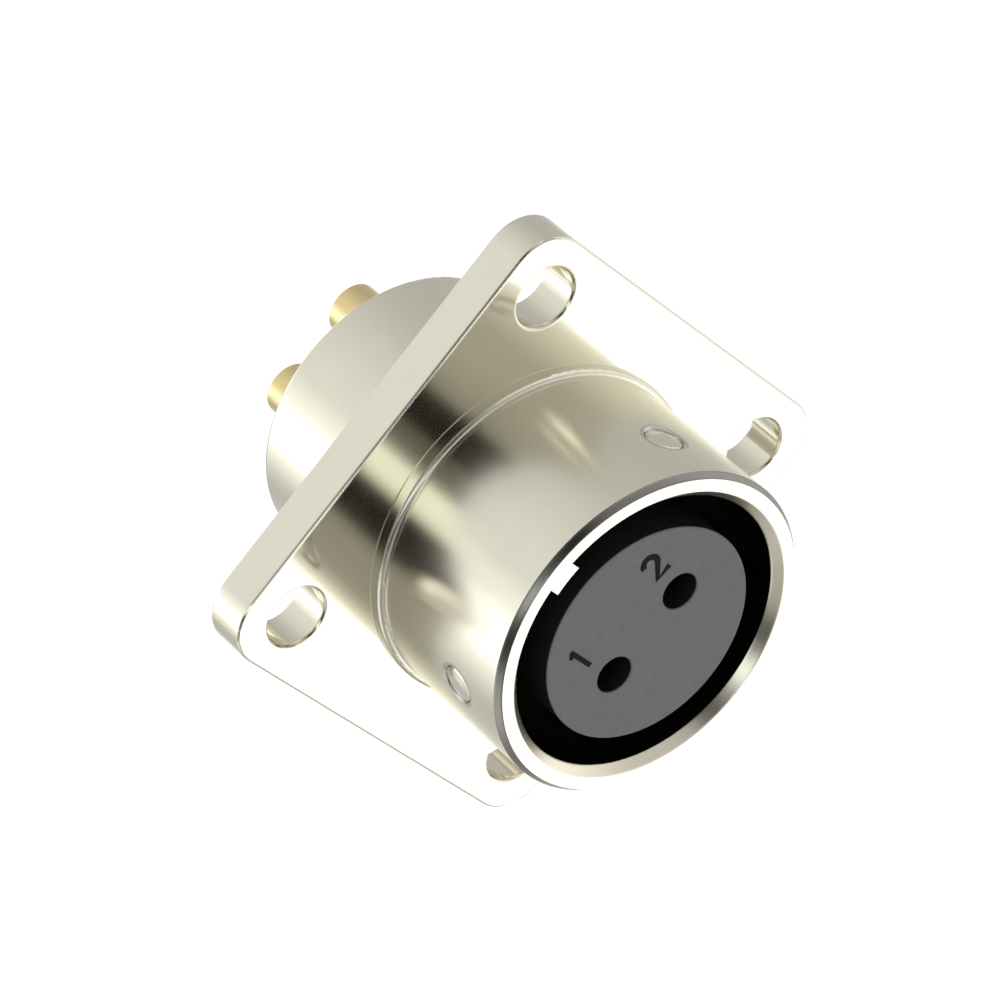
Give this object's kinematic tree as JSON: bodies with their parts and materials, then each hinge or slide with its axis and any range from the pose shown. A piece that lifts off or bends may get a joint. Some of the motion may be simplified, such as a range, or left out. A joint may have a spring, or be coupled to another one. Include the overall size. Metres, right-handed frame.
{
  "type": "square-flange panel receptacle connector",
  "caption": "Round receptacle connector with a square mounting flange, bright nickel shell, grey insert with numbered sockets, and gold solder cups behind.",
  "frame": {"origin": "centre of the flange's rear face, which seats on the panel, on the connector's axis", "axes": "-Y points out of the mating mouth and +Y to the solder cups; +X runs from contact 1 to contact 2; +Z is towards the main key"},
  "size_m": [0.03, 0.0334, 0.03],
  "materials": {
    "nickel_shell": "bright nickel plate on turned brass",
    "nickel_pin": "bright nickel plate",
    "insert_grey": "fine matt moulding, dark grey",
    "gold": "thin gold plate on brass",
    "spring_steel": "plain stainless steel",
    "seal_rubber": "matt black rubber"
  },
  "bodies": {
    "root": {"shell": "nickel_shell", "coupling_pin_1": "nickel_pin", "coupling_pin_2": "nickel_pin", "coupling_pin_3": "nickel_pin", "front_insert": "insert_grey", "rear_insert": "insert_grey", "socket_contact_1": "gold", "socket_contact_2": "gold", "contact_hood_1": "spring_steel", "contact_hood_2": "spring_steel", "mating_gasket": "seal_rubber", "insert_seal": "seal_rubber", "locating_pin": "spring_steel", "retaining_ring": "spring_steel"}
  },
  "joints": []
}
